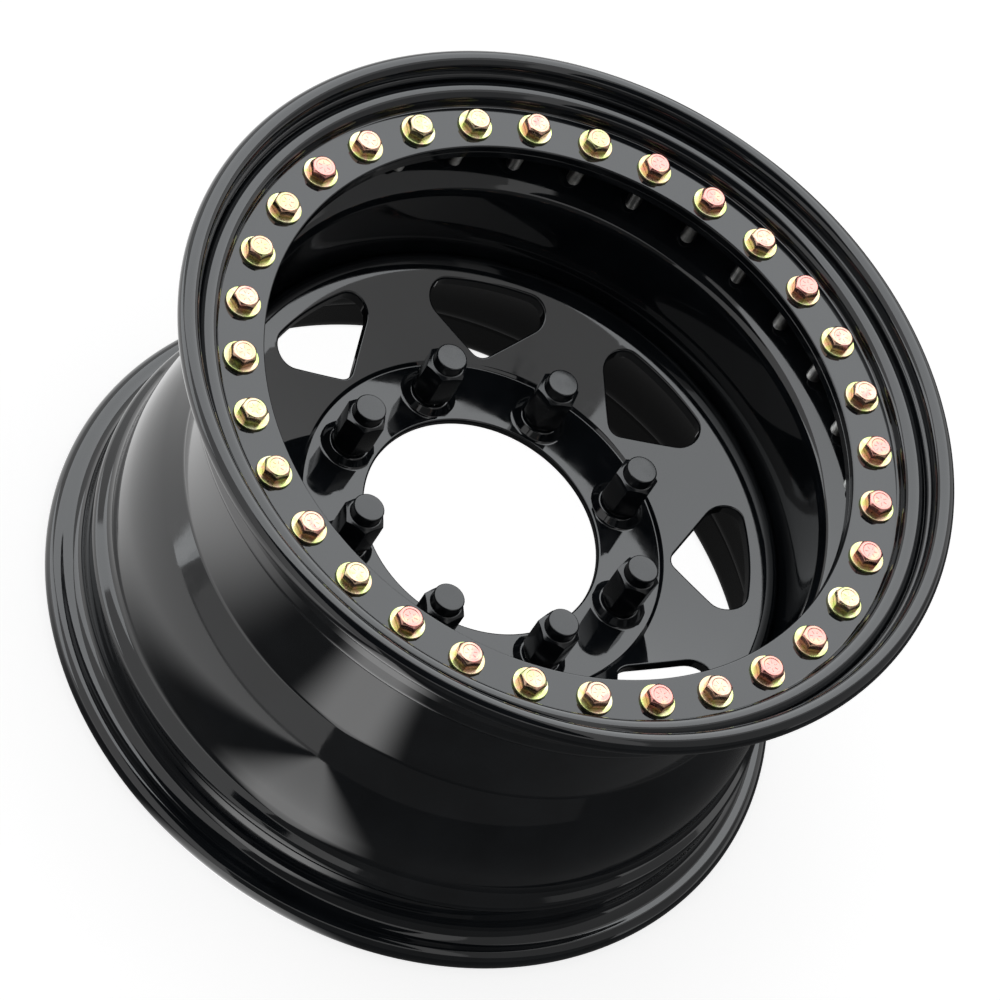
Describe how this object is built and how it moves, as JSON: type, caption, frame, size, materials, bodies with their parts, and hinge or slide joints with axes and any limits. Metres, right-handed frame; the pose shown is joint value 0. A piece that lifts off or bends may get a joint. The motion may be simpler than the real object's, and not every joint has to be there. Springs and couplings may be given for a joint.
{
  "type": "car wheel",
  "caption": "Black steel off-road wheel with a drop-centre rim, a windowed centre disc, a bolted outer bead clamp ring and closed lug nuts.",
  "frame": {"origin": "centre of the flat hub mounting face, on the wheel's axis", "axes": "+Z along the wheel's axis, towards the outboard side with the clamp ring; +X points between two stud holes"},
  "size_m": [0.4259, 0.4258, 0.2434],
  "materials": {
    "black_paint": "gloss black powder coat",
    "nut_black": "gloss black over plated steel",
    "zinc_bolt": "yellow zinc plated steel",
    "zinc_washer": "yellow zinc plated steel, greener"
  },
  "bodies": {
    "root": {"rim_barrel": "black_paint", "centre_disc": "black_paint", "disc_welds": "black_paint", "inner_ring": "black_paint", "ring_outer_weld": "black_paint", "ring_inner_weld": "black_paint", "clamp_ring": "black_paint", "clamp_washers": "zinc_washer", "weld_nuts": "black_paint", "clamp_bolt_1": "zinc_bolt", "clamp_bolt_2": "zinc_bolt", "clamp_bolt_3": "zinc_bolt", "clamp_bolt_4": "zinc_bolt", "clamp_bolt_5": "zinc_bolt", "clamp_bolt_6": "zinc_bolt", "clamp_bolt_7": "zinc_bolt", "clamp_bolt_8": "zinc_bolt", "clamp_bolt_9": "zinc_bolt", "clamp_bolt_10": "zinc_bolt", "clamp_bolt_11": "zinc_bolt", "clamp_bolt_12": "zinc_bolt", "clamp_bolt_13": "zinc_bolt", "clamp_bolt_14": "zinc_bolt", "clamp_bolt_15": "zinc_bolt", "clamp_bolt_16": "zinc_bolt", "clamp_bolt_17": "zinc_bolt", "clamp_bolt_18": "zinc_bolt", "clamp_bolt_19": "zinc_bolt", "clamp_bolt_20": "zinc_bolt", "clamp_bolt_21": "zinc_bolt", "clamp_bolt_22": "zinc_bolt", "clamp_bolt_23": "zinc_bolt", "clamp_bolt_24": "zinc_bolt", "clamp_bolt_25": "zinc_bolt", "clamp_bolt_26": "zinc_bolt", "clamp_bolt_27": "zinc_bolt", "clamp_bolt_28": "zinc_bolt", "clamp_bolt_29": "zinc_bolt", "clamp_bolt_30": "zinc_bolt", "clamp_bolt_31": "zinc_bolt", "clamp_bolt_32": "zinc_bolt", "lug_nut_1": "nut_black", "lug_nut_2": "nut_black", "lug_nut_3": "nut_black", "lug_nut_4": "nut_black", "lug_nut_5": "nut_black", "lug_nut_6": "nut_black", "lug_nut_7": "nut_black", "lug_nut_8": "nut_black"}
  },
  "joints": []
}
